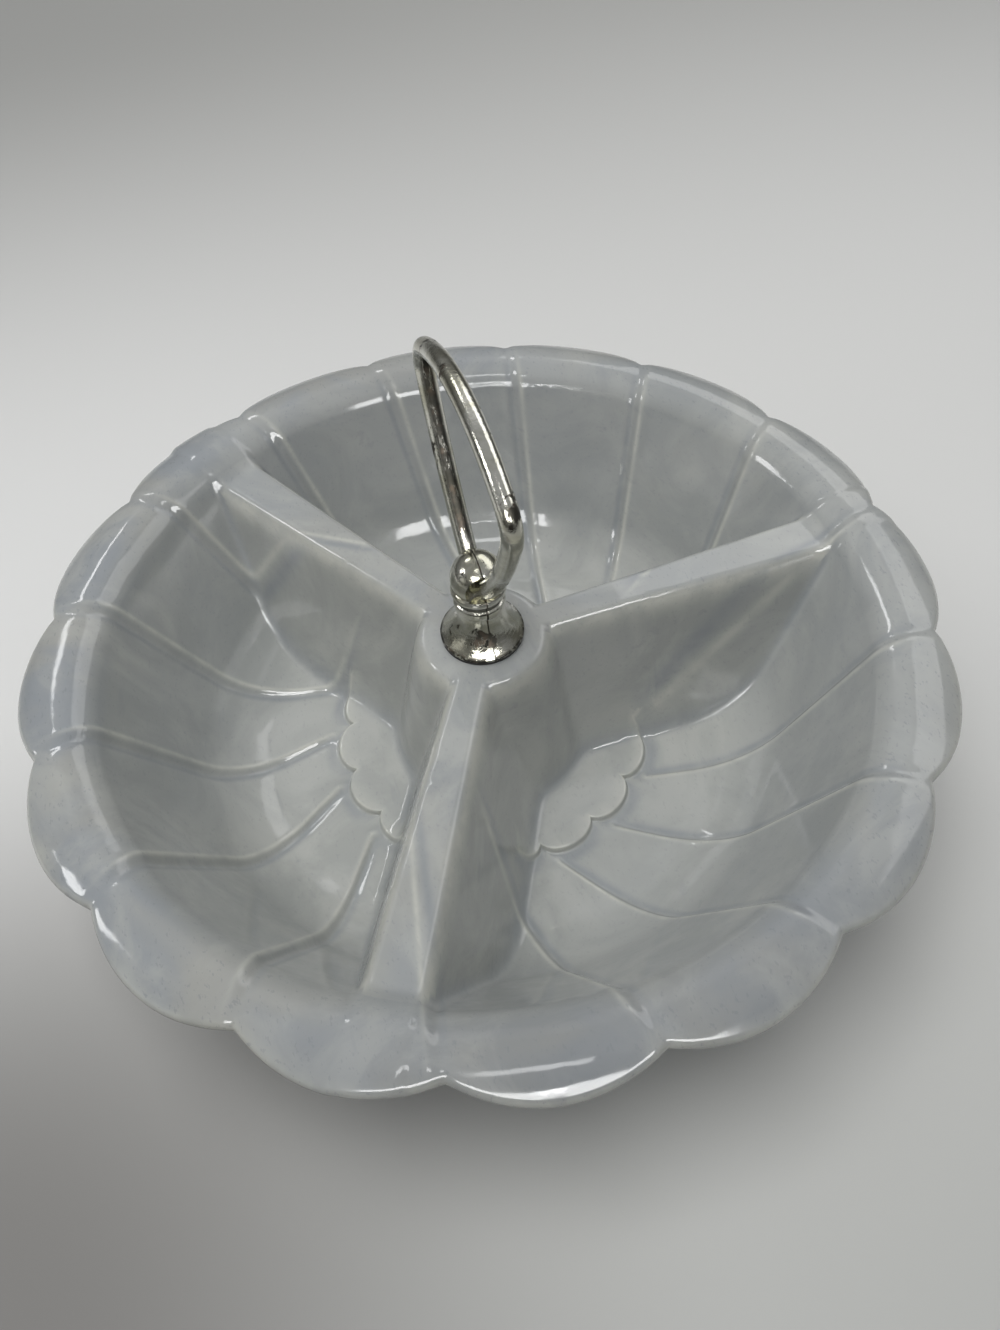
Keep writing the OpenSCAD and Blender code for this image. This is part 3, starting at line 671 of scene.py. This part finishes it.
def silver_material(name, cast=False):
    m = Nodes(name)
    cloud = m.ramp(m.noise(90, 4, 0.6, 0.4), 0.36, 0.64)
    color = m.mix(cloud, SILVER_LIGHT, SILVER_DULL)
    stain = m.noise(300 if cast else 150, 5, 0.72, 0.6, (1, 1, 0.5))
    x, y, z = m.axes()
    # Tarnish spots, partly painted dark reflection, gather round the flare's front and the bail's near
    # corner
    dark_spot = m.ramp(m.away(FLARE_FRONT if cast else NEAR_CORNER), *DARK_SPOT_AWAY, *DARK_SPOT_SHARES)
    dark = m.ramp(m.math("ADD", stain, dark_spot), 0.61, 0.66)
    if not cast:
        # Painted dark reflections along the middle of the far side wire
        reflect_streak = m.ramp(m.noise(900, 3, 0.6, 0.2, (1, 0.4, 0.05)), 0.36, 0.46)
        core = m.ramp(m.math("ABSOLUTE", x), *REFLECT_STREAK_X, 1.0, 0.0)
        core = m.math("MULTIPLY", core, m.ramp(y, *REFLECT_STREAK_Y))
        core = m.math("MULTIPLY", core, m.ramp(z, *REFLECT_STREAK_Z, 1.0, 0.0))
        dark = m.math("MAXIMUM", dark, m.math("MULTIPLY", reflect_streak, core))
    else:
        ragged = m.noise(420, 4, 0.7)
        groove = m.ramp(m.math("ABSOLUTE", m.math("SUBTRACT", z, GROOVE_Z)), *GROOVE_AWAY, 1.0, 0.0)
        edge = m.math("MULTIPLY", m.ramp(z, *FLANGE_DARK, 1.0, 0.0), m.ramp(ragged, 0.42, 0.5))
        wave = m.ramp(ragged, 0.3, 0.7, -SEAM_WAVE, SEAM_WAVE)
        seam = m.ramp(m.math("ADD", m.math("ABSOLUTE", x), wave), *SEAM_AWAY, 1.0, 0.0)
        dark = m.math("MAXIMUM", m.math("MAXIMUM", dark, m.math("MULTIPLY", groove, GROOVE_SHARE)),
                      m.math("MAXIMUM", edge, seam))
    # Black and brown of the tarnish, the painted dark reflections and the finial's dark lines
    tarnish_and_reflection = m.mix(m.ramp(m.noise(260, 3, 0.6), 0.48, 0.64), TARNISH_REFLECT_BLACK, TARNISH_REFLECT_BROWN)
    color = m.mix(m.math("MULTIPLY", dark, TARNISH_REFLECT_SHARE), color, tarnish_and_reflection)
    rough = m.math("ADD", m.ramp(m.noise(320, 4, 0.6), 0.3, 0.75, 0.08, 0.2), m.math("MULTIPLY", dark, 0.3))
    dents = m.bump(m.noise(200, 4, 0.7, 0.3), 0.0004, 0.22)
    normal = m.bump(m.noise(900, 3, 0.7), 0.0002, 0.35, dents)
    return m.finish(color, rough, normal, Metallic=1.0)


def plain_material(name, color, other, scale, rough, metallic=0.0):
    m = Nodes(name)
    tone = m.mix(m.ramp(m.noise(scale, 5, 0.6), 0.35, 0.65), srgb(*color), srgb(*other))
    sheen = m.ramp(m.noise(scale * 2, 4), 0.3, 0.7, rough, rough + 0.15)
    return m.finish(tone, sheen, m.bump(m.noise(scale * 3, 3), 0.0002, 0.4), Metallic=metallic)


def dress(ob, mat):
    ob.data.materials.clear()
    ob.data.materials.append(mat)


glaze = glaze_material()
silver = silver_material("silver_plate_bail")
silver_cast = silver_material("silver_plate_finial", cast=True)
rubber = plain_material("gasket_black", (28, 28, 27), (44, 42, 40), 300, 0.55)
brass = plain_material("brass_turned", (178, 145, 84), (150, 118, 66), 400, 0.3, 1.0)
zinc = plain_material("steel_zinc_plated", (176, 178, 180), (150, 152, 156), 350, 0.28, 1.0)
fibre = plain_material("fibre_pressed", (112, 78, 52), (88, 60, 40), 500, 0.75)

dish = make_dish()
dress(dish, glaze)
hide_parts("dish")
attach(dish, "dish_body")

bail = make_bail()
dress(bail, silver)
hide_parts("bail")
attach(bail, "bail_body")

for name, mat in (("finial_left", silver_cast), ("finial_right", silver_cast), ("gasket", rubber),
                  ("insert", brass), ("clamp_screw", zinc), ("lock_washer", zinc),
                  ("steel_washer", zinc), ("cushion_washer", fibre)):
    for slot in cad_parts[name].material_slots:
        slot.material = mat

# Floor, lamps and world
FLOOR_PALE, FLOOR_BACK_SHADE, FLOOR_RIGHT_SHADE = srgb(224, 224, 222), srgb(164, 164, 161), srgb(196, 196, 192)
FLOOR_FRONT_SHADOW, FLOOR_SHADE = srgb(174, 175, 171), srgb(118, 116, 113)
ROOM_LOW, ROOM_HIGH, PERSON, WALL_SEEN = (srgb(72, 72, 69), srgb(172, 173, 175), srgb(34, 31, 28),
                                          srgb(196, 196, 193))
# Ranges in m over which the floor's painted light falloff and painted shadow change, and the share that the
# new tone comes to
BACK_Y, RIGHT_X, RIGHT_SHARE, FRONT_Y, FRONT_SHARE = (0.12, 0.65), (-0.15, 0.25), 0.3, (0.04, -0.24), 0.9
SHADE_AT, SHADE_AWAY, SHADE_SHARE = (-0.2, -0.13, 0), (0.03, 0.22), 0.95
# Sines and cosines of the directions in which the room's tone changes
ROOM_RISE = (-0.2, 1.0)
PERSON_TOWARDS, PERSON_CONE, PERSON_SHARE = (-0.172, -0.975, 0.139), (0.86, 0.95), 0.9
FLOOR_HALF = 3.0
LAMP_AIM = Vector((0, 0, 0.04))
LAMP_DISTANCE = 1.6


def make_floor():
    h = FLOOR_HALF
    mesh = bpy.data.meshes.new("floor")
    mesh.from_pydata([(-h, -h, 0), (h, -h, 0), (h, h, 0), (-h, h, 0)], [], [(0, 1, 2, 3)])
    ob = bpy.data.objects.new("floor", mesh)
    bpy.context.scene.collection.objects.link(ob)
    m = Nodes("floor_pale")
    x, y, _ = m.axes()
    # Painted light and shade: the floor is palest at the left and darker towards the back, the right and
    # the front
    color = m.mix(m.ramp(y, *BACK_Y), FLOOR_PALE, FLOOR_BACK_SHADE)
    color = m.mix(m.ramp(x, *RIGHT_X, 0.0, RIGHT_SHARE), color, FLOOR_RIGHT_SHADE)
    color = m.mix(m.ramp(y, *FRONT_Y, 0.0, FRONT_SHARE), color, FLOOR_FRONT_SHADOW)
    # Painted shadow at the front left
    color = m.mix(m.ramp(m.away(SHADE_AT), *SHADE_AWAY, SHADE_SHARE, 0.0), color, FLOOR_SHADE)
    dress(ob, m.finish(color, 0.6))


def area_lamp(name, azimuth, elevation, size, watts, seen_by):
    """A lamp that faces the dish from a direction in degrees, for diffuse or glossy rays only."""
    data = bpy.data.lights.new(name, "AREA")
    data.shape = "RECTANGLE"
    data.size, data.size_y = size
    data.energy = watts
    ob = bpy.data.objects.new(name, data)
    az, el = np.radians(azimuth), np.radians(elevation)
    out = Vector((np.cos(el) * np.cos(az), np.cos(el) * np.sin(az), np.sin(el)))
    ob.location = LAMP_AIM + LAMP_DISTANCE * out
    ob.rotation_euler = (-out).to_track_quat("-Z", "Y").to_euler()
    ob.visible_diffuse = seen_by == "diffuse"
    ob.visible_glossy = seen_by == "glossy"
    bpy.context.scene.collection.objects.link(ob)


def make_world():
    """A room that is bright overhead and dim at the sides, with whoever holds the camera in front."""
    world = bpy.data.worlds.new("studio")
    bpy.context.scene.world = world
    w = Nodes("room", world)
    sky = w.mix(w.ramp(w.axes()[2], *ROOM_RISE), ROOM_LOW, ROOM_HIGH)
    room = w.mix(w.ramp(w.along(PERSON_TOWARDS), *PERSON_CONE, 0.0, PERSON_SHARE), sky, PERSON)
    # The camera sees a plain pale wall where the floor ends; nothing is lit by it
    seen = w.node("ShaderNodeLightPath").outputs["Is Camera Ray"]
    w.plug(w.mix(seen, room, WALL_SEEN), w.bsdf.inputs["Color"])


make_floor()
make_world()
area_lamp("ceiling", 190, 82, (1.1, 0.8), 14.5, "diffuse")
area_lamp("window_soft", 175, 58, (1.0, 0.7), 3.0, "diffuse")
for name, azimuth, elevation, width, height, watts in (
        ("window_front_right", -84, 37, 0.76, 0.44, 13.0),
        ("window_front", -117, 37, 0.76, 0.44, 13.0),
        ("window_left", 163, 34, 0.28, 0.36, 3.2),
        ("window_right", 25, 42, 1.9, 0.75, 7.5),
        ("tube_back", 110, 42, 0.4, 0.14, 1.5),
        ("ceiling_glow", 85, 50, 1.6, 0.8, 1.2),
        ("ceiling_front", -106, 70, 0.4, 0.15, 1.2),
        ("wall_left", -176, 14, 0.9, 0.4, 0.6)):
    area_lamp(name, azimuth, elevation, (width, height), watts, "glossy")

bpy.context.scene.view_settings.view_transform = "Standard"
